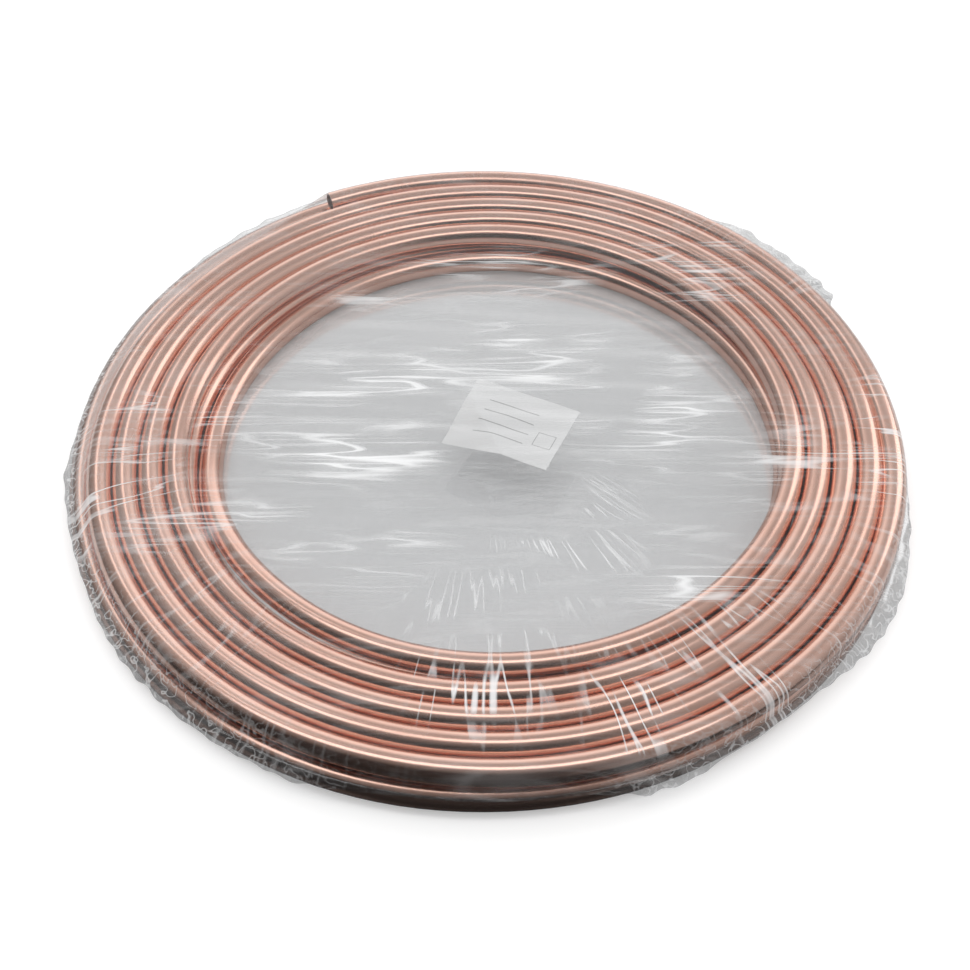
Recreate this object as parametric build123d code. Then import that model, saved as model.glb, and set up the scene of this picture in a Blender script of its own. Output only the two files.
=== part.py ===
from build123d import *
import os
from math import atan2, cos, radians, sin

# Copper tube coil: one length of soft copper tube wound flat in two layers,
# in a bag of clear shrink film with a paper label under the film.
# Sizes are millimetres. Angles are degrees, seen from above, counted from +X towards +Y.
# The coil lies flat on the floor, and the origin is on the floor, on the axis of its winding.

# Tube
tube_diameter = 15.88
tube_wall = 0.75
turn_gap = 0.52
layer_gap = 0.3

# The tube starts at its hidden end, on the outside of the lower layer. It winds in to the
# inner turn, which climbs to the top layer, and winds out again to its visible end.
inner_radius = 185.5
lower_end_angle = 50.0
lower_turns = 5
climb_start_angle = 180.0
climb_end_angle = 230.0
climb_outward = 4.9
top_turns = 5
top_end_angle = 117.3

# The last stretch of the top turn springs out of the spiral
sprung_angle = 60.0
sprung_outward = 3.5

# The first stretch of the lower layer bows outward, and both ends of the tube are open
bowed_angle = 155.0
bowed_outward = 8.5
mouth_depth = 30.0

# Film bag: two sheets welded at the rim, stretched round the coil. Its outline is drawn with
# straight sides between this many headings.
film_thickness = 0.4
film_clearance = 0.1
rim_clearance = 2.0
shoulder = 5.0
fin_width = 6.0
headings = 48

# Label, lying against the underside of the top sheet
label_length = 74.0
label_width = 57.0
label_thickness = 0.3
label_x = 12.9
label_y = -3.6
label_angle = -25.0

# Worked out from the sizes above
tube_radius = tube_diameter / 2
bore_radius = tube_radius - tube_wall
pitch = tube_diameter + turn_gap
lower_end_radius = inner_radius + pitch * (
    lower_turns + (climb_start_angle - lower_end_angle) / 360
)
top_first_radius = inner_radius + climb_outward
bag_inside_bottom = film_thickness
lower_z = bag_inside_bottom + film_clearance + tube_radius
top_z = lower_z + tube_diameter + layer_gap
bag_inside_top = top_z + tube_radius + film_clearance
weld_z = (lower_z + top_z) / 2

# The tube is drawn with eight flats, one of them on its crest, to keep the model light.
# Between neighbours the slopes of two turns meet in a groove.
tube_section = RegularPolygon(tube_radius, 8, major_radius=False, rotation=22.5)
neighbour_section = Rectangle(pitch, tube_diameter) & Rot(0, 0, 45) * Rectangle(
    tube_diameter, tube_diameter
)
groove_z = tube_diameter * cos(radians(45)) - pitch / 2


def direction(angle):
    """Unit vector in the floor plane at this angle."""
    return Vector(cos(radians(angle)), sin(radians(angle)), 0)


def swing(section, radius, z, centre, from_angle, to_angle):
    """Turn a section, drawn about its first tube's centre, round an upright axis."""
    placed = Rot(0, 0, from_angle) * Plane.XZ.location * Pos(radius, z) * section
    return Pos(centre) * revolve(placed, Axis.Z, to_angle - from_angle)


def turns(half_start, growth, radius, count, z, from_angle, to_angle):
    """Neighbouring turns over a stretch of one half turn.

    radius is the inner one's distance from the axis at half_start. A half turn has its
    centre set off the axis, so that it comes out half of growth further from the axis.
    A web reaches down from the top turns into the lower ones, for their hidden sides."""
    span = (count - 1) * pitch
    section = Sketch()
    for turn in range(count):
        section += Pos(turn * pitch, 0) * neighbour_section
    if z > lower_z:
        web = Rectangle(span, groove_z + z - lower_z, align=(Align.MIN, Align.MAX))
        section += Pos(0, groove_z) * web
    centre = direction(half_start) * (-growth / 4)
    return swing(section, radius + growth / 4, z, centre, from_angle, to_angle)


def top_radius(angle):
    """Distance of the top spiral's centre line from the axis. The angle counts every turn."""
    return top_first_radius + pitch * (angle - climb_end_angle) / 360


def lower_radius(angle):
    """Distance of the lower spiral's centre line from the axis. The angle counts every turn."""
    return lower_end_radius - pitch * (angle - lower_end_angle) / 360


def top_layer():
    """Half turns of the top spiral, up to where its last turn springs out."""
    half_a = top_end_angle + 180
    half_b = top_end_angle
    sprung_start = half_b + 360 - sprung_angle
    a_radius = top_radius(half_a)
    b_radius = top_radius(half_b)
    layer = turns(half_a, pitch, a_radius, top_turns, top_z, half_a, sprung_start)
    layer += turns(half_a, pitch, a_radius, top_turns - 1, top_z, sprung_start, half_b + 360)
    layer += turns(half_b, pitch, b_radius + pitch, top_turns - 1, top_z, half_b, climb_end_angle)
    layer += turns(half_b, pitch, b_radius, top_turns, top_z, climb_end_angle, half_a)
    return layer


def lower_layer():
    """Half turns of the lower spiral, without its bowed stretch, to the start of the climb."""
    half_a = lower_end_angle
    half_b = lower_end_angle + 180
    bow_end = lower_end_angle + bowed_angle
    a_radius = lower_end_radius - pitch * lower_turns
    b_radius = lower_radius(half_b) - pitch * (lower_turns - 1)
    start = climb_start_angle
    layer = turns(half_a, -pitch, a_radius, lower_turns, lower_z, half_a, start)
    layer += turns(half_a, -pitch, a_radius + pitch, lower_turns - 1, lower_z, start, bow_end)
    layer += turns(half_a, -pitch, a_radius + pitch, lower_turns, lower_z, bow_end, half_b)
    layer += turns(half_b, -pitch, b_radius, lower_turns, lower_z, half_b, half_b + 180)
    return layer


def climb():
    """The inner turn on its way up, with level ends."""
    stations = 6
    sections = []
    for station in range(stations + 1):
        share = station / stations
        eased = share * share * (3 - 2 * share)
        angle = climb_start_angle + share * (climb_end_angle - climb_start_angle)
        radius = inner_radius + eased * climb_outward
        height = lower_z + eased * (top_z - lower_z)
        upright = Rot(0, 0, angle) * Plane.XZ.location * Pos(radius, height)
        sections.append(upright * tube_section)
    return loft(sections, ruled=True)


def visible_end():
    """The last stretch of the top turn, on a larger arc that leaves the spiral, and its bore."""
    start = top_end_angle - sprung_angle
    turn_radius = top_radius(start + 360 * top_turns)
    run = radians(sprung_angle) * turn_radius
    arc_radius = 1 / (1 / turn_radius - 2 * sprung_outward / run**2)
    centre = direction(start) * (turn_radius - arc_radius)
    tube = swing(tube_section, arc_radius, top_z, centre, start, top_end_angle)
    bore_start = top_end_angle - mouth_depth / radians(arc_radius)
    bore = swing(Circle(bore_radius), arc_radius, top_z, centre, bore_start, top_end_angle + 1)
    return tube, bore


def bowed_radius(angle):
    """Distance of the bowed stretch's centre line from the axis."""
    turned = radians(angle - lower_end_angle)
    unbowed = lower_end_radius - pitch / 4 * (1 - cos(turned))
    return unbowed + bowed_outward / 2 * (1 - cos(turned * 360 / bowed_angle))


def hidden_end():
    """The first stretch of the lower turn, which bows away from its neighbour, and its bore."""
    stations = 26
    sections = []
    for station in range(stations + 1):
        angle = lower_end_angle + bowed_angle * station / stations
        upright = Rot(0, 0, angle) * Plane.XZ.location * Pos(bowed_radius(angle), lower_z)
        sections.append(upright * tube_section)
    arc_radius = lower_end_radius - pitch / 4
    centre = direction(lower_end_angle) * (pitch / 4)
    bore_end = lower_end_angle + mouth_depth / radians(arc_radius)
    bore_start = lower_end_angle - 1
    bore = swing(Circle(bore_radius), arc_radius, lower_z, centre, bore_start, bore_end)
    return loft(sections, ruled=True), bore


def tube_coil():
    """The whole tube as one turned solid with its two open ends."""
    visible_tube, visible_bore = visible_end()
    hidden_tube, hidden_bore = hidden_end()
    coil = top_layer() + lower_layer() + climb() + visible_tube + hidden_tube
    return coil - visible_bore - hidden_bore


def outer_top_radius(heading):
    """Outermost centre line of the top layer at this heading, a step past the visible end."""
    first = top_end_angle + 360 / headings + 360 * (top_turns - 1)
    angle = first + (heading - first) % 360
    sprung = max(0, (angle - top_end_angle - 360 * top_turns) / sprung_angle + 1)
    return top_radius(angle) + sprung_outward * sprung**2


def outer_lower_radius(heading):
    """Outermost centre line of the lower layer at this heading, a step past the hidden end."""
    first = lower_end_angle - 360 / headings
    angle = first + (heading - first) % 360
    if angle < lower_end_angle + bowed_angle:
        return bowed_radius(angle)
    return lower_radius(angle)


def stretched(radii):
    """The radii of a taut outline: each is pulled out to the chord between its neighbours."""
    radii = list(radii)
    for _ in range(headings):
        for i in range(headings):
            before, after = radii[i - 1], radii[(i + 1) % headings]
            chord = 2 * before * after * cos(radians(360 / headings)) / (before + after)
            radii[i] = max(radii[i], chord)
    return radii


def bag_radii(z):
    """Radii of the bag's inside at this height: on the line that touches both layers, and no
    further out than the outer one of them."""
    reach = tube_radius + rim_clearance
    angles = [360 * i / headings for i in range(headings)]
    tops = stretched(outer_top_radius(angle) for angle in angles)
    lowers = stretched(outer_lower_radius(angle) for angle in angles)
    radii = []
    for top, lower in zip(tops, lowers):
        lean = atan2(lower - top, top_z - lower_z)
        line = top + (reach - (z - top_z) * sin(lean)) / cos(lean)
        radii.append(min(line, max(top, lower) + reach) / cos(radians(180 / headings)))
    return radii


def outline(z, grow, height=None):
    """Face with the bag's outline at height z, grown by this much, and lifted to height."""
    corners = []
    for i, radius in enumerate(bag_radii(z)):
        corner = direction(360 * i / headings) * (radius + grow)
        corners.append((corner.X, corner.Y))
    lifted = z if height is None else height
    return Pos(0, 0, lifted) * make_face(Polyline(*corners, close=True))


def film_sheet(inside_z):
    """One sheet of the bag: flat over the coil, bent down its side, flat again at the weld."""
    side = 1 if inside_z > weld_z else -1
    bend_z = inside_z - side * shoulder
    waist_z = weld_z + side * tube_radius / 2
    solids = []
    for grow in (film_thickness, 0):
        cap = outline(bend_z, grow - shoulder, inside_z + side * grow)
        rings = [outline(weld_z, grow), outline(waist_z, grow), outline(bend_z, grow), cap]
        solids.append(loft(rings, ruled=True))
    outside, inside = solids
    fin = extrude(outline(weld_z, film_thickness + fin_width), side * film_thickness)
    return outside + fin - inside


def paper_label():
    """Flat sheet of paper against the underside of the top film."""
    sheet = Box(label_length, label_width, label_thickness)
    middle = bag_inside_top - label_thickness / 2
    return Pos(label_x, label_y, middle) * Rot(0, 0, label_angle) * sheet


nodes = {
    "tube_coil": tube_coil(),
    "film_top_sheet": film_sheet(bag_inside_top),
    "film_bottom_sheet": film_sheet(bag_inside_bottom),
    "paper_label": paper_label(),
}

os.makedirs("parts", exist_ok=True)
for name, solid in nodes.items():
    export_step(solid, f"parts/{name}.step")
    print(name, len(solid.solids()), round(solid.volume), solid.bounding_box())
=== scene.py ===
# %% [markdown]
# A coil of soft copper tube in a bag of clear shrink film, lying flat on the floor.
# The real thing is one length of tube, wound in two layers of flat spirals, sealed between two
# sheets of film with a small paper label under the top one. This script dresses the model made
# in CAD: the tube follows the same spirals, the film is drawn over it, and nothing changes size.

# %% Load the model that everything fits
from math import cos, pi, radians, sin

import bpy
import numpy as np
from mathutils import Matrix, Vector
from mathutils.geometry import convex_hull_2d


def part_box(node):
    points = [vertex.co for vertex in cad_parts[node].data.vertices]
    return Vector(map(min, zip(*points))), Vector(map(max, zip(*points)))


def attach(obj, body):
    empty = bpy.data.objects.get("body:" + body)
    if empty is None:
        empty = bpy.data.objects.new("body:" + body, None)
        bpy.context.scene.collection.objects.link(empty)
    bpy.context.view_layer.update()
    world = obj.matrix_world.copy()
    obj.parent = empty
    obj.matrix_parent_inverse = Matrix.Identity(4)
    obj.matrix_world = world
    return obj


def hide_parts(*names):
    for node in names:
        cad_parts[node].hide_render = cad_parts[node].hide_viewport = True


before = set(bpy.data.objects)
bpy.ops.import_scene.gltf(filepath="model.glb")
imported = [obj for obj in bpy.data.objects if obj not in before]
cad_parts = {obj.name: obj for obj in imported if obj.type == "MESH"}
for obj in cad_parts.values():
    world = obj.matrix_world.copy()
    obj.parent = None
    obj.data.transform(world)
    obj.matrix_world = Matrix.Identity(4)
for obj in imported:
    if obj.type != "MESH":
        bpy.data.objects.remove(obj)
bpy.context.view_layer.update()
scene = bpy.context.scene
scene.view_settings.view_transform = "Standard"
coil_low, coil_high = (Vector(corner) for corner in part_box("tube_coil"))
label_low, label_high = (Vector(corner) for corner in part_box("paper_label"))
print("coil from", tuple(coil_low), "to", tuple(coil_high))

# %% [markdown]
# The sizes are the ones that a tube maker would give: the diameter and wall of the tube, the
# gap between neighbouring turns, and how the spiral runs. They are metres, and angles are
# degrees seen from above, counted from the right-hand side towards the back.

# %% Sizes of the coil
TUBE_DIAMETER = 0.01588
TUBE_WALL = 0.00075
TURN_STEP = 0.0164
INNER_RADIUS = 0.1855
CLIMB_OUTWARD = 0.0049
START_ANGLE = 50.0
CLIMB_START = 180.0 + 5 * 360
CLIMB_END = CLIMB_START + 50.0
EASED_END = CLIMB_START + 165.0
END_ANGLE = CLIMB_END + 5 * 360 - 112.7
SPRUNG_ANGLE = 60.0
SPRUNG_OUTWARD = 0.0035
# Stretches that leave the spiral: first angle, angle covered, metres outwards
BOWS = [
    (START_ANGLE, 155.0, 0.0105),
    (CLIMB_START - 335, 100.0, -0.0030),
    (CLIMB_END + 1530, 110.0, -0.0026),
]
# Slow waves of the whole coil: crests to a turn, and metres of cosine and of sine
OUT_OF_ROUND = [(1.0, 0.00024, 0.0), (2.0, -0.00021, 0.00099), (3.0, 0.00027, -0.0005)]

tube_radius = TUBE_DIAMETER / 2
lower_height = coil_low.z + tube_radius
top_height = coil_high.z - tube_radius
print("lower layer at", lower_height, "top layer at", top_height)

# %% [markdown]
# The camera stands about 0.9 m away and looks down at 48 degrees. It is placed by a target on
# the floor, a distance and a height angle, because those are the numbers that one adjusts when
# matching a photograph.

# %% Camera
CAMERA_TARGET = Vector((-0.0042, -0.0301, 0.0005))
CAMERA_DISTANCE = 0.9121
CAMERA_ELEVATION = radians(48.425)
CAMERA_LENS = 51.509

tilt = Matrix.Rotation(pi / 2 - CAMERA_ELEVATION, 4, "X")
away = Vector((0, -cos(CAMERA_ELEVATION), sin(CAMERA_ELEVATION))) * CAMERA_DISTANCE
camera = bpy.data.objects.new("camera", bpy.data.cameras.new("camera"))
camera.data.lens = CAMERA_LENS
camera.matrix_world = Matrix.Translation(CAMERA_TARGET + away) @ tilt
scene.collection.objects.link(camera)
scene.camera = camera
print("camera at", tuple(round(x, 3) for x in camera.matrix_world.translation))

# %% [markdown]
# A node tree is easier to read when making a node and wiring it takes one line. These four
# helpers serve the shape of the tube and every material below. A value that is a socket is
# linked, and any other value is typed into the socket.

# %% Helpers for node trees
def plug(tree, socket, value):
    """Link a socket to this input, or set the input's own value."""
    if isinstance(value, bpy.types.NodeSocket):
        tree.links.new(value, socket)
    elif value is not None:
        socket.default_value = value


def node(tree, kind, inputs=(), **settings):
    """Make a node, set its properties, and fill its inputs in order or by name."""
    made = tree.nodes.new(kind)
    for name, value in settings.items():
        setattr(made, name, value)
    named = inputs.items() if isinstance(inputs, dict) else enumerate(inputs)
    for key, value in named:
        plug(tree, made.inputs[key], value)
    return made


def calc(tree, operation, *values):
    """A Math node's result, in a geometry or a material tree."""
    return node(tree, "ShaderNodeMath", values, operation=operation).outputs[0]


def ramp(tree, value, low, high, to_low=0.0, to_high=1.0, smooth=False):
    """Value carried from one range to another and held at its ends."""
    kind = "SMOOTHSTEP" if smooth else "LINEAR"
    inputs = (value, low, high, to_low, to_high)
    return node(tree, "ShaderNodeMapRange", inputs, interpolation_type=kind).outputs[0]


# %% [markdown]
# The tube is one pipe bent by a rule, so Geometry Nodes make it. A straight line of points is
# bent into the winding: each point knows how far along it is, that gives its angle, and the
# angle gives its distance from the middle and its height. The lower layer winds inwards, the
# inner turn climbs on top of it, and the top layer winds out again. A real coil isn't perfect,
# so a slow noise moves each turn a little, and neighbours mostly move together because they
# press on each other. A circle swept along the line gives the outside of the tube.

# %% Winding, as a tree of geometry nodes
POINTS_ALONG = 1440
SIDES_ROUND = 28

tree = bpy.data.node_groups.new("tube_winding", "GeometryNodeTree")
INPUTS = {
    "Points": ("NodeSocketInt", POINTS_ALONG),
    "Sides": ("NodeSocketInt", SIDES_ROUND),
    "Tube radius": ("NodeSocketFloat", tube_radius),
    "Start angle": ("NodeSocketFloat", START_ANGLE),
    "Climb start": ("NodeSocketFloat", CLIMB_START),
    "Climb end": ("NodeSocketFloat", CLIMB_END),
    "Eased end": ("NodeSocketFloat", EASED_END),
    "End angle": ("NodeSocketFloat", END_ANGLE),
    "Turn step": ("NodeSocketFloat", TURN_STEP),
    "Inner radius": ("NodeSocketFloat", INNER_RADIUS),
    "Climb outward": ("NodeSocketFloat", CLIMB_OUTWARD),
    "Lower height": ("NodeSocketFloat", lower_height),
    "Top height": ("NodeSocketFloat", top_height),
    "Sprung angle": ("NodeSocketFloat", SPRUNG_ANGLE),
    "Sprung outward": ("NodeSocketFloat", SPRUNG_OUTWARD),
    "Unevenness": ("NodeSocketFloat", 0.0006),
    "Seed": ("NodeSocketFloat", 3.0),
    "Finish": ("NodeSocketMaterial", None),
}
identifiers = {}
for name, (kind, _) in INPUTS.items():
    socket = tree.interface.new_socket(name, in_out="INPUT", socket_type=kind)
    identifiers[name] = socket.identifier
tree.interface.new_socket("Tube", in_out="OUTPUT", socket_type="NodeSocketGeometry")
given = node(tree, "NodeGroupInput").outputs


def add(*values):
    """Sum in the winding tree."""
    return calc(tree, "ADD", *values)


def minus(*values):
    """Difference in the winding tree."""
    return calc(tree, "SUBTRACT", *values)


def times(*values):
    """Product in the winding tree."""
    return calc(tree, "MULTIPLY", *values)


# %% Distance from the middle and height, from the angle
share = node(tree, "GeometryNodeSplineParameter").outputs["Factor"]
angle = add(given["Start angle"], times(share, minus(given["End angle"], given["Start angle"])))
step_per_degree = calc(tree, "DIVIDE", given["Turn step"], 360.0)
before_climb = calc(tree, "MAXIMUM", minus(given["Climb start"], angle), 0.0)
lower_spiral = add(given["Inner radius"], times(before_climb, step_per_degree))
after_climb = calc(tree, "MAXIMUM", minus(angle, given["Climb end"]), 0.0)
top_start = add(given["Inner radius"], given["Climb outward"])
top_spiral = add(top_start, times(after_climb, step_per_degree))
climbed = ramp(tree, angle, given["Climb start"], given["Climb end"], smooth=True)
height = ramp(tree, climbed, 0.0, 1.0, given["Lower height"], given["Top height"])
eased = ramp(tree, angle, given["Climb start"], given["Eased end"], smooth=True)
spiral = add(times(minus(1.0, eased), lower_spiral), times(eased, top_spiral))
sprung_start = minus(given["End angle"], given["Sprung angle"])
sprung = ramp(tree, angle, sprung_start, given["End angle"])
spring = times(given["Sprung outward"], times(sprung, sprung))
bow = 0.0
for bow_start, bow_angle, outward in BOWS:
    through = ramp(tree, angle, bow_start, bow_start + bow_angle)
    hump = minus(0.5, times(0.5, calc(tree, "COSINE", times(through, 2 * pi))))
    bow = add(bow, times(outward, hump))

# %% Unevenness that neighbouring turns share, and the point's place
NOISE_LOOP = 1.6
DEGREES_TO_NOISE = 900.0

turn_radians = calc(tree, "RADIANS", angle)
around = node(
    tree,
    "ShaderNodeCombineXYZ",
    (
        times(calc(tree, "COSINE", turn_radians), NOISE_LOOP),
        times(calc(tree, "SINE", turn_radians), NOISE_LOOP),
        add(given["Seed"], calc(tree, "DIVIDE", angle, DEGREES_TO_NOISE)),
    ),
).outputs[0]
noise = node(tree, "ShaderNodeTexNoise", {"Vector": around, "Scale": 1.0, "Detail": 1.0})
wander = times(minus(noise.outputs[0], 0.5), times(given["Unevenness"], 2.0))
for waves, cosine, sine in OUT_OF_ROUND:
    swing = times(turn_radians, waves)
    wander = add(wander, times(calc(tree, "COSINE", swing), cosine))
    wander = add(wander, times(calc(tree, "SINE", swing), sine))
radius = add(add(spiral, add(spring, bow)), wander)
place = node(
    tree,
    "ShaderNodeCombineXYZ",
    (
        times(radius, calc(tree, "COSINE", turn_radians)),
        times(radius, calc(tree, "SINE", turn_radians)),
        height,
    ),
).outputs[0]

# %% [markdown]
# The swept circle keeps two facts at every point of the surface: where on the round section it
# lies, and how far along the tube. Together they unroll the tube into a straight one, so that
# the drawn lines in the copper can follow the bends.

# %% Sweep, and the attribute that unrolls the tube
line = node(tree, "GeometryNodeCurvePrimitiveLine").outputs[0]
points = node(tree, "GeometryNodeResampleCurve", {"Curve": line, "Count": given["Points"]})
bent = node(
    tree, "GeometryNodeSetPosition", {"Geometry": points.outputs[0], "Position": place}
).outputs[0]
along = node(tree, "GeometryNodeSplineParameter").outputs["Length"]
keep_along = node(tree, "GeometryNodeCaptureAttribute", domain="POINT")
keep_along.capture_items.new("FLOAT", "along")
plug(tree, keep_along.inputs["Geometry"], bent)
plug(tree, keep_along.inputs["along"], along)
section = node(
    tree,
    "GeometryNodeCurvePrimitiveCircle",
    {"Resolution": given["Sides"], "Radius": given["Tube radius"]},
).outputs["Curve"]
keep_place = node(tree, "GeometryNodeCaptureAttribute", domain="POINT")
keep_place.capture_items.new("VECTOR", "on section")
plug(tree, keep_place.inputs["Geometry"], section)
plug(tree, keep_place.inputs["on section"], node(tree, "GeometryNodeInputPosition").outputs[0])
swept = node(
    tree,
    "GeometryNodeCurveToMesh",
    {"Curve": keep_along.outputs["Geometry"], "Profile Curve": keep_place.outputs["Geometry"]},
).outputs[0]
across = node(tree, "ShaderNodeSeparateXYZ", (keep_place.outputs["on section"],)).outputs
straight = node(
    tree, "ShaderNodeCombineXYZ", (across[0], across[1], keep_along.outputs["along"])
).outputs[0]
marked = node(
    tree,
    "GeometryNodeStoreNamedAttribute",
    {"Geometry": swept, "Name": "straight", "Value": straight},
    data_type="FLOAT_VECTOR",
    domain="POINT",
).outputs[0]
smooth = node(tree, "GeometryNodeSetShadeSmooth", {"Geometry": marked}).outputs[0]
real = node(tree, "GeometryNodeRealizeInstances", {"Geometry": smooth}).outputs[0]
finished = node(
    tree, "GeometryNodeSetMaterial", {"Geometry": real, "Material": given["Finish"]}
).outputs[0]
node(tree, "NodeGroupOutput", (finished,))
print("winding tree has", len(tree.nodes), "nodes")

# %% [markdown]
# Copper is a metal, so its colour is the colour of its reflections. New tube is drawn through a
# die, which leaves fine lines along it, and handling leaves faint darker stains. Both are
# patterns on the unrolled coordinates: noise squeezed hard along the tube gives the lines, and a
# loose one gives the stains.

# %% Copper finish
COPPER_COLOUR = (0.94, 0.595, 0.48, 1)
STAINED_COLOUR = (0.80, 0.46, 0.36, 1)
MOST_STAINED = 0.45
CLEAN_ROUGHNESS = 0.23
STAINED_ROUGHNESS = 0.30
FINE_LINES = (1500, 1500, 3)
BROAD_LINES = (330, 330, 0.8)
STAINS = (60, 60, 14)


def new_material(name):
    """An empty material, its tree and its output node."""
    made = bpy.data.materials.new(name)
    made.use_nodes = True
    made.node_tree.nodes.clear()
    output = made.node_tree.nodes.new("ShaderNodeOutputMaterial")
    return made, made.node_tree, output


def stretched_noise(tree, vector, scale, **inputs):
    """Noise read on scaled coordinates."""
    scaled = node(tree, "ShaderNodeMapping", {"Vector": vector, "Scale": scale}).outputs[0]
    return node(tree, "ShaderNodeTexNoise", {"Vector": scaled, "Scale": 1.0, **inputs}).outputs[0]


def kept(tree, name, output="Fac"):
    """What the mesh keeps at its points under this name."""
    return node(tree, "ShaderNodeAttribute", attribute_name=name).outputs[output]


def copper_finish():
    """Drawn copper with lengthwise lines and faint stains."""
    made, tree, output = new_material("drawn_copper")
    unrolled = kept(tree, "straight", "Vector")
    fine = stretched_noise(tree, unrolled, FINE_LINES, Detail=1.0)
    broad = stretched_noise(tree, unrolled, BROAD_LINES, Detail=1.0)
    stains = stretched_noise(tree, unrolled, STAINS, Detail=3.0, Roughness=0.6)
    stained = ramp(tree, stains, 0.45, 0.75, 0.0, MOST_STAINED)
    mixed = node(
        tree,
        "ShaderNodeMix",
        {0: stained, 6: COPPER_COLOUR, 7: STAINED_COLOUR},
        data_type="RGBA",
    )
    lines = calc(tree, "ADD", calc(tree, "MULTIPLY", fine, 0.5), broad)
    bump = node(
        tree,
        "ShaderNodeBump",
        {"Strength": 0.2, "Distance": 0.0001, "Height": lines},
    ).outputs[0]
    rough = ramp(tree, stained, 0.0, MOST_STAINED, CLEAN_ROUGHNESS, STAINED_ROUGHNESS)
    metal = node(
        tree,
        "ShaderNodeBsdfPrincipled",
        {"Base Color": mixed.outputs[2], "Metallic": 1.0, "Roughness": rough, "Normal": bump},
    )
    plug(tree, output.inputs[0], metal.outputs[0])
    return made


copper = copper_finish()
print("copper finish has", len(copper.node_tree.nodes), "nodes")

# %% Make the tube, and give it its wall
CUT_END_ANGLE = radians(50)

tube = bpy.data.objects.new("copper_tube", bpy.data.meshes.new("copper_tube"))
scene.collection.objects.link(tube)
winding = tube.modifiers.new("winding", "NODES")
winding.node_group = tree
for name, (_, value) in INPUTS.items():
    winding[identifiers[name]] = copper if name == "Finish" else value


def settle(piece):
    """Replace a piece's mesh by what its modifiers make, and remove them."""
    ready = piece.evaluated_get(bpy.context.evaluated_depsgraph_get())
    mesh = bpy.data.meshes.new_from_object(ready)
    piece.modifiers.clear()
    piece.data = mesh
    mesh.name = piece.name
    return piece


settle(tube)
wall = tube.modifiers.new("wall", "SOLIDIFY")
wall.thickness = TUBE_WALL
wall.offset = -1
settle(tube)
# The cut ends are the only corners, so only they are shaded sharp
tube.data.set_sharp_from_angle(angle=CUT_END_ANGLE)
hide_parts("tube_coil")
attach(tube, "root")
print("tube has", len(tube.data.polygons), "faces")

# %% [markdown]
# Shrink film is clear plastic a tenth of a millimetre thick. Seen flat it only dulls what is
# behind it. Its creases catch the lamps as white streaks: long ones along the direction in which
# the film was drawn, short ones across the tubes where it shrank towards the weld, and fine ones
# in every direction where it is crumpled at the rim. Those streaks are partly a painted
# highlight: besides a bump that tilts the gloss, white diffuse film is laid along each crease,
# and broad bands of painted sheen lie between them. All are ridges of stretched noise. The
# short ones are read on coordinates that run round the coil, and the others on plain ones. The
# sheets keep three values at their points, which say how much of each shows there.

# %% Film finish
CLEAR_FILM = (0.79, 0.795, 0.80, 1)
CLOUDY_AND_GLINT_FILM = (0.82, 0.825, 0.83, 1)
PASSED_LIGHT = (0.82, 0.825, 0.83, 1)
CLEAR_LEVEL = 0.795
# The crumpled level is darker partly as painted shade of the floor under the rim
CRUMPLED_SHADED_LEVEL = 0.66
FILM_INDEX = 1.45
FILM_ROUGHNESS = 0.12
MOST_MIRRORED = 0.3
PLAIN_HAZE = 0.005
CREASE_WHITENESS_AND_GLINT = 0.75
# How often each pattern repeats to a metre, along its three directions
WAVES = (10, 95, 1)
HAIRS = (4, 210, 1)
SHRINKAGE = (22, 22, 12)
CRUMPLES = (150, 150, 150)
FADING = (16, 40, 30)
HAIR_STRENGTH = 0.6
CRUMPLE_STRENGTH = 0.8


def ridges(tree, vector, scale, thin, **inputs):
    """Thin lines where a stretched noise crosses its middle value."""
    height = stretched_noise(tree, vector, scale, **inputs)
    off_middle = calc(tree, "ABSOLUTE", calc(tree, "SUBTRACT", height, 0.5))
    return ramp(tree, off_middle, 0.0, thin, 1.0, 0.0, smooth=True)


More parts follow.
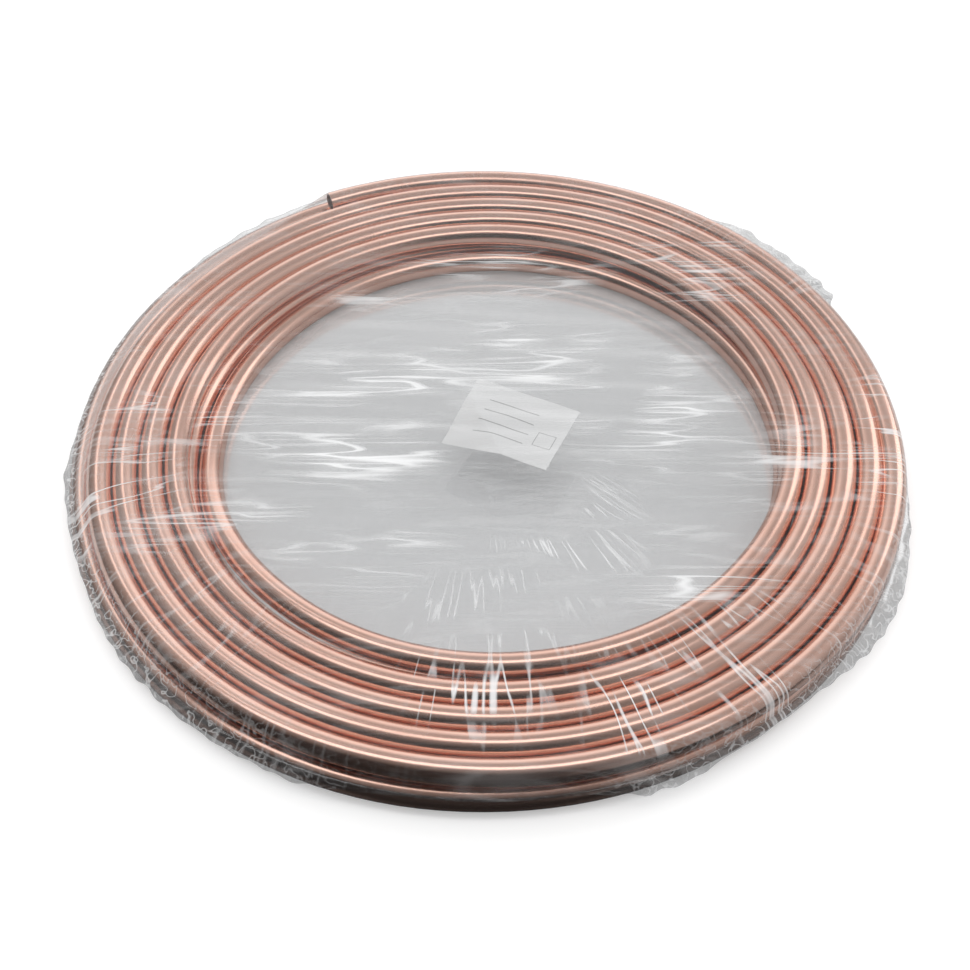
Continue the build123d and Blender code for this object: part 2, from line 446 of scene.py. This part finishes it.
def film_finish(name, creased):
    """Clear film, with white creases, partly a painted highlight, placed by what the sheets keep
    at their points.
    """
    made, tree, output = new_material(name)
    clear = node(tree, "ShaderNodeBsdfTransparent", {"Color": CLEAR_FILM})
    gloss = {"Color": (1, 1, 1, 1), "Roughness": FILM_ROUGHNESS}
    shine = node(tree, "ShaderNodeBsdfGlossy", gloss)
    mirror = node(tree, "ShaderNodeFresnel", {"IOR": FILM_INDEX}).outputs[0]
    mirror = calc(tree, "MINIMUM", mirror, MOST_MIRRORED)
    haze_and_glint = PLAIN_HAZE
    if creased:
        creases, sheen_and_haze = film_creases(tree)
        bump = node(
            tree, "ShaderNodeBump", {"Strength": 0.35, "Distance": 0.0004, "Height": creases}
        ).outputs[0]
        plug(tree, shine.inputs["Normal"], bump)
        # White diffuse film along the creases is a painted highlight in place of their glint,
        # partly also the whitening of creased film
        haze_and_glint = calc(tree, "ADD", calc(tree, "MULTIPLY", creases, CREASE_WHITENESS_AND_GLINT), sheen_and_haze)
        # Crumpled film hides more of what is behind it, and its darker clear colour is also
        # painted shade for the shadowed floor under the rim
        see_through_shaded = ramp(tree, kept(tree, "crumpled"), 0.0, 1.0, CLEAR_LEVEL, CRUMPLED_SHADED_LEVEL)
        plug(tree, clear.inputs["Color"], see_through_shaded)
    surfaces = (mirror, clear.outputs[0], shine.outputs[0])
    glazed = node(tree, "ShaderNodeMixShader", surfaces).outputs[0]
    cloudy_and_glint = node(tree, "ShaderNodeBsdfDiffuse", {"Color": CLOUDY_AND_GLINT_FILM}).outputs[0]
    film_like = node(tree, "ShaderNodeMixShader", (haze_and_glint, glazed, cloudy_and_glint)).outputs[0]
    # Light that only crosses the film on its way to something else needs none of this
    plain = node(tree, "ShaderNodeBsdfTransparent", {"Color": PASSED_LIGHT}).outputs[0]
    ray = node(tree, "ShaderNodeLightPath").outputs
    passing = calc(tree, "MAXIMUM", ray["Is Shadow Ray"], ray["Is Diffuse Ray"])
    passing = calc(tree, "MAXIMUM", passing, ray["Is Glossy Ray"])
    chosen = node(tree, "ShaderNodeMixShader", (passing, film_like, plain)).outputs[0]
    plug(tree, output.inputs[0], chosen)
    return made


def film_creases(tree):
    """How creased the film is at each place, and the painted sheen and haze between the creases.
    """
    place = node(tree, "ShaderNodeTexCoord").outputs["Object"]
    round_coil = kept(tree, "round_coil", "Vector")
    drawn_here, shrunk_here = kept(tree, "drawn"), kept(tree, "shrunk")
    crumpled_here = kept(tree, "crumpled")
    waves = ridges(tree, place, WAVES, 0.06, Detail=1.0, Distortion=0.4)
    hairs = ridges(tree, place, HAIRS, 0.05, Detail=0.0)
    shrunk = ridges(tree, round_coil, SHRINKAGE, 0.04, Detail=1.0)
    crumpled = ridges(tree, place, CRUMPLES, 0.045, Detail=1.0)
    crumpled = calc(tree, "MULTIPLY", crumpled, CRUMPLE_STRENGTH)
    fading = stretched_noise(tree, place, FADING, Detail=1.0)
    drawn = calc(tree, "MAXIMUM", waves, calc(tree, "MULTIPLY", hairs, HAIR_STRENGTH))
    drawn = calc(tree, "MULTIPLY", drawn, ramp(tree, fading, 0.38, 0.58))
    creases = calc(tree, "MINIMUM", calc(tree, "MULTIPLY", drawn, drawn_here), 1.0)
    shrunk = calc(tree, "MULTIPLY", shrunk, ramp(tree, fading, 0.58, 0.46))
    creases = calc(tree, "MAXIMUM", creases, calc(tree, "MULTIPLY", shrunk, shrunk_here))
    creases = calc(tree, "MAXIMUM", creases, calc(tree, "MULTIPLY", crumpled, crumpled_here))
    # Broad soft white bands are a painted sheen, standing in for light reflected off the film's
    # wide waves
    sheen_and_haze = calc(tree, "MULTIPLY", ramp(tree, fading, 0.5, 0.7, 0.0, 0.16), drawn_here)
    return creases, calc(tree, "ADD", sheen_and_haze, ramp(tree, crumpled_here, 0.2, 1.0, 0.005, 0.06))


top_film = film_finish("shrink_film", True)
bottom_film = film_finish("shrink_film_below", False)
print("film finish has", len(top_film.node_tree.nodes), "nodes")

# %% [markdown]
# The film is shrunk on hot, so it is taut: it spans the bore like a drum skin, bends over the
# outermost tube and runs straight down to the weld, where the two sheets leave a thin ruffled
# edge. Such a shape follows from the tube alone. For every heading round the coil, a stretched
# outline gives how far out the film is held by the top layer and by the lower one.

# %% Stretched outline round the coil
COLUMNS = 840
FILM_GAP = 0.00015
OUTER_TURNS_FROM = 0.25
heading = np.arange(COLUMNS) * 2 * pi / COLUMNS
towards = np.stack([np.cos(heading), np.sin(heading)])
WELD_HEIGHT = (lower_height + top_height) / 2

spots = np.empty(len(tube.data.vertices) * 3)
tube.data.vertices.foreach_get("co", spots)
spots = spots.reshape(-1, 3)


def taut_edge(points):
    """How far from the middle an outline stretched round these points is, for every heading."""
    far = points[np.hypot(points[:, 0], points[:, 1]) > OUTER_TURNS_FROM][:, :2]
    ring = far[convex_hull_2d([tuple(point) for point in far])]
    side = np.roll(ring, -1, axis=0) - ring
    normal = np.stack([side[:, 1], -side[:, 0]], axis=1)
    offset = (normal * ring).sum(axis=1)
    normal *= np.sign(offset)[:, None]
    facing = np.maximum(normal @ towards, 1e-9)
    return (np.abs(offset)[:, None] / facing).min(axis=0)


top_edge = taut_edge(spots[spots[:, 2] > WELD_HEIGHT]) - tube_radius
low_edge = taut_edge(spots[spots[:, 2] < WELD_HEIGHT]) - tube_radius
print("top layer reaches", top_edge.min(), "to", top_edge.max())
print("lower layer reaches", low_edge.min(), "to", low_edge.max())

# %% [markdown]
# The edge beyond the weld is wide where two corners of the bag were drawn together and narrow
# where the film was cut close. These widths, in millimetres, are read off the photograph about
# every ten degrees. Slow waves ruffle it, more towards its free side.

# %% Width and ruffles of the welded edge
FIN_WIDTHS = {
    0: 2, 12: 4, 22: 5, 26: 7, 28: 15, 31: 25, 36: 29, 42: 27, 48: 24, 53: 15, 58: 6, 70: 5,
    100: 5, 118: 6, 127: 8, 136: 6, 146: 2, 166: 2, 180: 3, 187: 7, 195: 5, 206: 4, 217: 7,
    234: 7, 248: 7, 254: 3, 260: 1.2, 279: 1.2, 284: 4, 288: 8, 293: 8, 298: 5, 304: 4, 312: 4,
    318: 7, 324: 11, 332: 12, 341: 7, 349: 3,
}
# How crumpled the film is at its rim, from smooth at 0 to crushed at 1, by heading, which also
# sets how much painted shade darkens the film there
CRUMPLED_AND_SHADED = {
    0: 0.4, 20: 0.3, 30: 0.8, 50: 0.8, 60: 0.3, 90: 0.2, 120: 0.3, 150: 0.6, 170: 0.9, 215: 0.9,
    240: 0.5, 255: 0.1, 280: 0.1, 290: 0.5, 320: 0.9, 345: 0.7,
}
random = np.random.default_rng(7)


def ripple(turns, low, high, count):
    """A sum of waves round the coil, about one high, with this many crests to a full turn."""
    total = 0
    for crests in random.integers(low, high, count):
        total = total + np.sin(crests * turns + random.uniform(0, 2 * pi))
    return total / count**0.5


fin_width = np.interp(np.degrees(heading), *zip(*FIN_WIDTHS.items()), period=360) / 1000
fin_width = fin_width * (1 + 0.07 * ripple(heading, 25, 110, 8)).clip(0.7, 1.3)
fin_wave = ripple(heading, 30, 90, 6)
fin_fine = ripple(heading, 90, 190, 6)
print("welded edge is", fin_width.min(), "to", fin_width.max(), "wide")

# %% Sag of the top film, and where its creases are
BORE_REACH = 0.180
BORE_EDGE = 0.06


def membrane(x, y):
    """Height of the top film above its level, where it spans the bore: sag and broad waves."""
    from_middle = np.hypot(x, y)
    inside = np.clip((BORE_REACH - from_middle) / BORE_EDGE, 0, 1)
    waves = 0.35 * np.sin(y * 210 + 3 * np.sin(x * 17)) + 0.25 * np.sin(y * 390 + x * 30 + 1)
    return (waves * inside - 0.3 * inside**2) / 1000


# Soft ellipses: middle, half sizes and strength, in mm, of where creases and their painted white
# show. Film is a little creased everywhere.
DRAWN_EVERYWHERE = 0.12
DRAWN_PATCHES = [
    (-81, 31, 70, 30, 1.5), (-88, -30, 80, 30, 1.3), (25, 60, 60, 35, 1.2),
    (106, 10, 60, 60, 1.0), (-88, 112, 45, 16, 0.7), (-79, -109, 60, 35, 0.7),
    (126, -128, 55, 35, 0.9), (-205, -15, 70, 45, 0.8), (-170, -87, 75, 35, 0.7),
    (206, -37, 70, 45, 0.8), (18, 147, 80, 28, 0.8), (149, 156, 45, 45, 0.9),
]
SHRUNK_PATCHES = [
    (45, -100, 45, 60, 0.9), (0, -160, 55, 40, 0.6), (-7, -205, 40, 40, 1.1),
    (75, -225, 25, 40, 1.2), (-233, -91, 45, 75, 1.0), (-164, -156, 50, 50, 0.35),
    (159, -190, 70, 50, 0.8), (262, -40, 30, 90, 0.9),
]


def patchy(x, y, patches, ground):
    """How much this kind of crease shows at each place, from a list of soft ellipses in mm."""
    level = np.full(x.shape, float(ground))
    for middle_x, middle_y, half_x, half_y, strength in patches:
        off = np.hypot((x * 1000 - middle_x) / half_x, (y * 1000 - middle_y) / half_y)
        level = np.maximum(level, strength * np.clip(1.4 - 1.1 * off, 0, 1))
    return level


def keep_creasing(mesh):
    """Keep at every point how creased the film is, and the direction round the coil."""
    spots = np.empty(len(mesh.vertices) * 3)
    mesh.vertices.foreach_get("co", spots)
    x, y, z = spots.reshape(-1, 3).T
    from_middle = np.hypot(x, y)
    at = np.degrees(np.arctan2(y, x))
    crumpled = np.interp(at, *zip(*CRUMPLED_AND_SHADED.items()), period=360)
    rim = crumpled * np.clip((from_middle - 0.23) / 0.05, 0, 1)
    edge = crumpled * np.clip((from_middle - 0.255) / 0.02, 0, 1)
    keep = {
        "drawn": patchy(x, y, DRAWN_PATCHES, DRAWN_EVERYWHERE),
        "shrunk": np.maximum(patchy(x, y, SHRUNK_PATCHES, 0.0), 0.6 * rim),
        "crumpled": edge,
    }
    for name, level in keep.items():
        mesh.attributes.new(name, "FLOAT", "POINT").data.foreach_set("value", level)
    facing = np.stack([x, y, (from_middle + z) * np.maximum(from_middle, 1e-6)], axis=1)
    facing /= np.maximum(from_middle, 1e-6)[:, None]
    mesh.attributes.new("round_coil", "FLOAT_VECTOR", "POINT").data.foreach_set(
        "vector", facing.ravel()
    )


# %% Shape of each sheet
RING_STEP = 0.005
ROUND_REACH = 0.170
LOWEST_FILM = 0.0002
RUFFLE = 0.0007
FINE_RUFFLE = 0.00025
FULL_RUFFLE_WIDTH = 0.010


def sheet_rings(upper):
    """Distance from the middle and height of every ring, out to the free edge."""
    side = 1 if upper else -1
    hold = tube_radius + FILM_GAP
    held_edge, held_height = (top_edge, top_height) if upper else (low_edge, lower_height)
    level = held_height + side * hold
    lean = np.arctan2(low_edge - top_edge, top_height - lower_height)
    # Round rings over the bore, and then rings that ease into the stretched outline
    rings = [(np.full(COLUMNS, r), level) for r in np.arange(RING_STEP, ROUND_REACH, RING_STEP)]
    for part in np.linspace(0, 1, 42):
        rings.append((ROUND_REACH + part * (held_edge - ROUND_REACH), level))
    # Round the outermost tube
    for part in np.linspace(0, 1, 9)[1:]:
        bend = side * pi / 2 + part * (lean - side * pi / 2)
        rings.append((held_edge + hold * np.cos(bend), held_height + hold * np.sin(bend)))
    # Along the straight line that touches both layers, to the weld
    top_of_wall = (top_edge + hold * np.cos(lean), top_height + hold * np.sin(lean))
    foot_of_wall = (low_edge + hold * np.cos(lean), lower_height + hold * np.sin(lean))
    down = (top_of_wall[1] - WELD_HEIGHT) / (top_of_wall[1] - foot_of_wall[1])
    down = np.clip(down, 0.1, 0.9)
    weld = [a + down * (b - a) for a, b in zip(top_of_wall, foot_of_wall)]
    start = rings[-1]
    for part in np.linspace(0, 1, 5)[1:]:
        rings.append(tuple(a + part * (b - a) for a, b in zip(start, weld)))
    # Over the welded edge, which droops most at the front
    for part in np.linspace(0, 1, 8)[1:]:
        ruffle = (RUFFLE * fin_wave + FINE_RUFFLE * fin_fine) * part
        ruffle = ruffle * np.minimum(1, fin_width / FULL_RUFFLE_WIDTH)
        droop = (0.3 + 0.5 * np.maximum(0, -towards[1])) * part**2 * fin_width
        fin_height = weld[1] + ruffle - droop + side * FILM_GAP
        rings.append((weld[0] + part * fin_width, fin_height))
    return rings


def ring_faces(ring_count, upper):
    """Faces between neighbouring rings, and those round the middle, which is point zero."""
    column = np.arange(COLUMNS)
    after = (column + 1) % COLUMNS
    faces = []
    for ring in range(ring_count - 1):
        a, b = 1 + ring * COLUMNS, 1 + (ring + 1) * COLUMNS
        quads = np.stack([a + column, b + column, b + after, a + after], axis=1)
        faces += quads.tolist() if upper else quads[:, ::-1].tolist()
    cap = np.stack([0 * column, 1 + column, 1 + after], axis=1)
    faces += cap.tolist() if upper else cap[:, ::-1].tolist()
    return faces


def film_sheet(name, upper):
    """Build one sheet from its rings, and tell its area."""
    rings = sheet_rings(upper)
    out = np.stack([np.broadcast_to(ring[0], COLUMNS) for ring in rings])
    up = np.stack([np.broadcast_to(ring[1], COLUMNS) for ring in rings]).copy()
    x, y = out * towards[0], out * towards[1]
    if upper:
        up += membrane(x, y)
    points = np.stack([x, y, np.maximum(up, LOWEST_FILM)], axis=-1).reshape(-1, 3)
    middle = (0, 0, rings[0][1] + (membrane(0.0, 0.0) if upper else 0))
    faces = ring_faces(len(rings), upper)
    mesh = bpy.data.meshes.new(name)
    mesh.from_pydata([middle] + points.tolist(), [], faces)
    mesh.shade_smooth()
    keep_creasing(mesh)
    sheet = bpy.data.objects.new(name, mesh)
    scene.collection.objects.link(sheet)
    mesh.materials.append(top_film if upper else bottom_film)
    area = sum(face.area for face in mesh.polygons)
    print(name, "has", len(faces), "faces and", round(area, 4), "square metres")
    return sheet, area


# %% Both sheets
top_sheet, top_area = film_sheet("film_top", True)
bottom_sheet, bottom_area = film_sheet("film_bottom", False)
for sheet, cad_node, area in (
    (top_sheet, "film_top_sheet", top_area),
    (bottom_sheet, "film_bottom_sheet", bottom_area),
):
    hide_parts(cad_node)
    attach(sheet, "root")

# %% [markdown]
# The label is a slip of paper that lies loose under the top film, a blank form with thin rules
# and an empty frame. Its near left corner is folded down along a slanting crease. A grid of
# points lowered beyond that crease gives the fold, and the rules are drawn in the material.

# %% Paper label
LABEL_TURN = radians(-25)
LABEL_LENGTH = 0.074
LABEL_WIDTH = 0.057
INK_DEPTH = 0.45
label_middle = (label_low + label_high) / 2


def paper_finish():
    """White paper with thin grey rules, placed by the label's own length and width."""
    made, tree, output = new_material("label_paper")
    uv = node(tree, "ShaderNodeUVMap", uv_map="label").outputs[0]
    u, v, _ = node(tree, "ShaderNodeSeparateXYZ", (uv,)).outputs

    def band(value, middle, half):
        """One inside this band and zero outside it."""
        off = calc(tree, "ABSOLUTE", calc(tree, "SUBTRACT", value, middle))
        return calc(tree, "LESS_THAN", off, half)

    def both(*values):
        """Product of two masks."""
        return calc(tree, "MULTIPLY", *values)

    rows = calc(tree, "PINGPONG", calc(tree, "SUBTRACT", v, 0.10), 0.08)
    rules = both(calc(tree, "LESS_THAN", rows, 0.006), band(u, 0.45, 0.24))
    rules = both(rules, band(v, 0.50, 0.36))
    frame_out = both(band(u, 0.85, 0.085), band(v, 0.40, 0.11))
    frame_in = both(band(u, 0.85, 0.079), band(v, 0.40, 0.102))
    ink = calc(tree, "MAXIMUM", rules, calc(tree, "SUBTRACT", frame_out, frame_in))
    fibres = stretched_noise(tree, uv, (60, 60, 60), Detail=3.0)
    shade = ramp(tree, fibres, 0.3, 0.7, 0.84, 0.90)
    colour = calc(tree, "SUBTRACT", shade, calc(tree, "MULTIPLY", ink, INK_DEPTH))
    grey = node(tree, "ShaderNodeCombineXYZ", (colour, colour, colour)).outputs[0]
    paper = node(tree, "ShaderNodeBsdfPrincipled", {"Base Color": grey, "Roughness": 0.8})
    plug(tree, output.inputs[0], paper.outputs[0])
    return made


# %% Shape of the label
CREASE_ON_LENGTH = 0.58
CREASE_ON_WIDTH = 0.73
FOLDED_REACH = 0.030
FOLD_SLOPE = 0.30
LABEL_GAP = 0.0004
CURL = 0.0006

u, v = np.meshgrid(np.linspace(0, 1, 75), np.linspace(0, 1, 58))
along, across = (u - 0.5) * LABEL_LENGTH, (v - 0.5) * LABEL_WIDTH
beyond = np.maximum(0, 1 - u / CREASE_ON_LENGTH - v / CREASE_ON_WIDTH) * FOLDED_REACH
x = label_middle.x + along * cos(LABEL_TURN) - across * sin(LABEL_TURN)
y = label_middle.y + along * sin(LABEL_TURN) + across * cos(LABEL_TURN)
under_film = top_height + tube_radius + FILM_GAP + membrane(x, y) - LABEL_GAP
curl = CURL * np.sin(v * pi) * np.sin(u * 5 + 1)
height_of_paper = under_film - FOLD_SLOPE * beyond - np.abs(curl)
count = u.shape[1]
cell = np.arange((u.shape[0] - 1) * count).reshape(-1, count)[:, :-1].ravel()
label_mesh = bpy.data.meshes.new("paper_slip")
label_mesh.from_pydata(
    np.stack([x, y, height_of_paper], axis=-1).reshape(-1, 3).tolist(),
    [],
    np.stack([cell, cell + 1, cell + 1 + count, cell + count], axis=1).tolist(),
)
label_mesh.shade_smooth()
label_uv = label_mesh.uv_layers.new(name="label").data
corner = np.empty(len(label_mesh.loops), dtype=int)
label_mesh.loops.foreach_get("vertex_index", corner)
flat_uv = np.stack([u, v], axis=-1).reshape(-1, 2)[corner]
label_uv.foreach_set("uv", flat_uv.ravel())
label = bpy.data.objects.new("paper_slip", label_mesh)
scene.collection.objects.link(label)
label_mesh.materials.append(paper_finish())
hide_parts("paper_label")
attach(label, "root")
print("label has", len(label_mesh.polygons), "faces")

# %% [markdown]
# The studio is a pale floor and soft light. The floor is white to the camera and still takes
# the shadow of the coil. In reflections it is dark in front and pale further back, which gives
# the tubes their dark undersides.

# %% Floor
FLOOR_SHADE = 0.80
FLOOR_GLOW = 0.28
DARK_FLOOR_TO = -0.28
PALE_FLOOR_FROM = -0.14
DARK_FLOOR = 0.02
PALE_FLOOR = 0.75

floor_mesh = bpy.data.meshes.new("floor")
reach = 6.0
floor_mesh.from_pydata(
    [(-reach, -reach, 0), (reach, -reach, 0), (reach, reach, 0), (-reach, reach, 0)],
    [],
    [(0, 1, 2, 3)],
)
floor = bpy.data.objects.new("floor", floor_mesh)
scene.collection.objects.link(floor)
white, floor_tree, output = new_material("floor_white")
ray = node(floor_tree, "ShaderNodeLightPath").outputs
floor_place = node(floor_tree, "ShaderNodeTexCoord").outputs["Object"]
floor_y = node(floor_tree, "ShaderNodeSeparateXYZ", (floor_place,)).outputs[1]
mirrored_shade = ramp(
    floor_tree, floor_y, DARK_FLOOR_TO, PALE_FLOOR_FROM, DARK_FLOOR, PALE_FLOOR
)
shade_inputs = (ray["Is Glossy Ray"], None, FLOOR_SHADE, mirrored_shade)
shade = node(floor_tree, "ShaderNodeMix", shade_inputs)
matte = node(floor_tree, "ShaderNodeBsdfDiffuse", (shade.outputs[0],)).outputs[0]
glow_level = calc(floor_tree, "MULTIPLY", ray["Is Camera Ray"], FLOOR_GLOW)
glow = node(floor_tree, "ShaderNodeEmission", {"Strength": glow_level}).outputs[0]
lit = node(floor_tree, "ShaderNodeAddShader", (matte, glow)).outputs[0]
plug(floor_tree, output.inputs[0], lit)
floor_mesh.materials.append(white)

# %% [markdown]
# The room is white all round to the camera. Metal shows what surrounds it, so glossy rays meet
# another room: dark low in front, lighter towards the back and overhead, with a bright patch low
# at the back and a bright wall on the right. Everything that isn't a mirror is lit by a third,
# which grows brighter from the front to the back.

# %% World
LOW_BACK_GLOW = 1.1
RIGHT_WALL_GLOW = 0.45

world = bpy.data.worlds.new("studio")
scene.world = world
world.use_nodes = True
sky = world.node_tree
sky.nodes.clear()
direction = node(sky, "ShaderNodeTexCoord").outputs["Generated"]
to_right, to_back, upward = node(sky, "ShaderNodeSeparateXYZ", (direction,)).outputs
level = ramp(sky, to_back, -0.35, 0.45, 0.70, 1.10)
slant = calc(sky, "MULTIPLY", calc(sky, "ADD", to_back, upward), 0.7)
mirrored_level = ramp(sky, slant, 0.0, 1.0, 0.03, 0.57)
low_back = calc(sky, "MULTIPLY", ramp(sky, upward, 0.75, 0.45), ramp(sky, to_back, 0.3, 0.7))
right_wall = calc(sky, "MULTIPLY", ramp(sky, to_right, 0.25, 0.7), ramp(sky, to_back, 0.55, 0.25))
low_back = calc(sky, "MULTIPLY", low_back, ramp(sky, calc(sky, "ABSOLUTE", to_right), 0.55, 0.25))
mirrored_level = calc(sky, "ADD", mirrored_level, calc(sky, "MULTIPLY", low_back, LOW_BACK_GLOW))
right_glow = calc(sky, "MULTIPLY", right_wall, RIGHT_WALL_GLOW)
mirrored_level = calc(sky, "ADD", mirrored_level, right_glow)
room = node(sky, "ShaderNodeBackground", {"Color": (1, 1, 1, 1), "Strength": level}).outputs[0]
backdrop = node(sky, "ShaderNodeBackground", {"Color": (1, 1, 1, 1), "Strength": 1.0}).outputs[0]
mirrored = node(
    sky, "ShaderNodeBackground", {"Color": (1, 1, 1, 1), "Strength": mirrored_level}
).outputs[0]
ray = node(sky, "ShaderNodeLightPath").outputs
room = node(sky, "ShaderNodeMixShader", (ray["Is Glossy Ray"], room, mirrored)).outputs[0]
shown = node(sky, "ShaderNodeMixShader", (ray["Is Camera Ray"], room, backdrop)).outputs[0]
node(sky, "ShaderNodeOutputWorld", (shown,))

# %% [markdown]
# Three soft lamps give the long highlights on the tubes. Each is placed by the direction that
# it shines from, its distance, its two sides and its brightness, and its power follows from
# those, so a larger lamp looks no brighter.

# %% Lamps
def softbox(name, azimuth, elevation, distance, width, height, radiance):
    """A rectangular lamp that looks at the coil from this direction."""
    lamp = bpy.data.lights.new(name, "AREA")
    lamp.shape = "RECTANGLE"
    lamp.size = width
    lamp.size_y = height
    lamp.energy = radiance * pi * width * height
    holder = bpy.data.objects.new(name, lamp)
    flat = cos(radians(elevation))
    towards = Vector(
        (flat * cos(radians(azimuth)), flat * sin(radians(azimuth)), sin(radians(elevation)))
    )
    holder.location = towards * distance
    holder.rotation_euler = towards.to_track_quat("Z", "Y").to_euler()
    scene.collection.objects.link(holder)
    print(name, "sends", round(lamp.energy, 1), "W")


# Heading and elevation in degrees, then distance, width and height in metres, and brightness
softbox("right_back_softbox", 36, 28, 2.2, 0.75, 1.5, 1.9)
softbox("left_back_softbox", 124, 50, 2.2, 0.45, 1.2, 1.3)
softbox("overhead_strip", 262, 82, 1.2, 1.4, 0.36, 2.2)
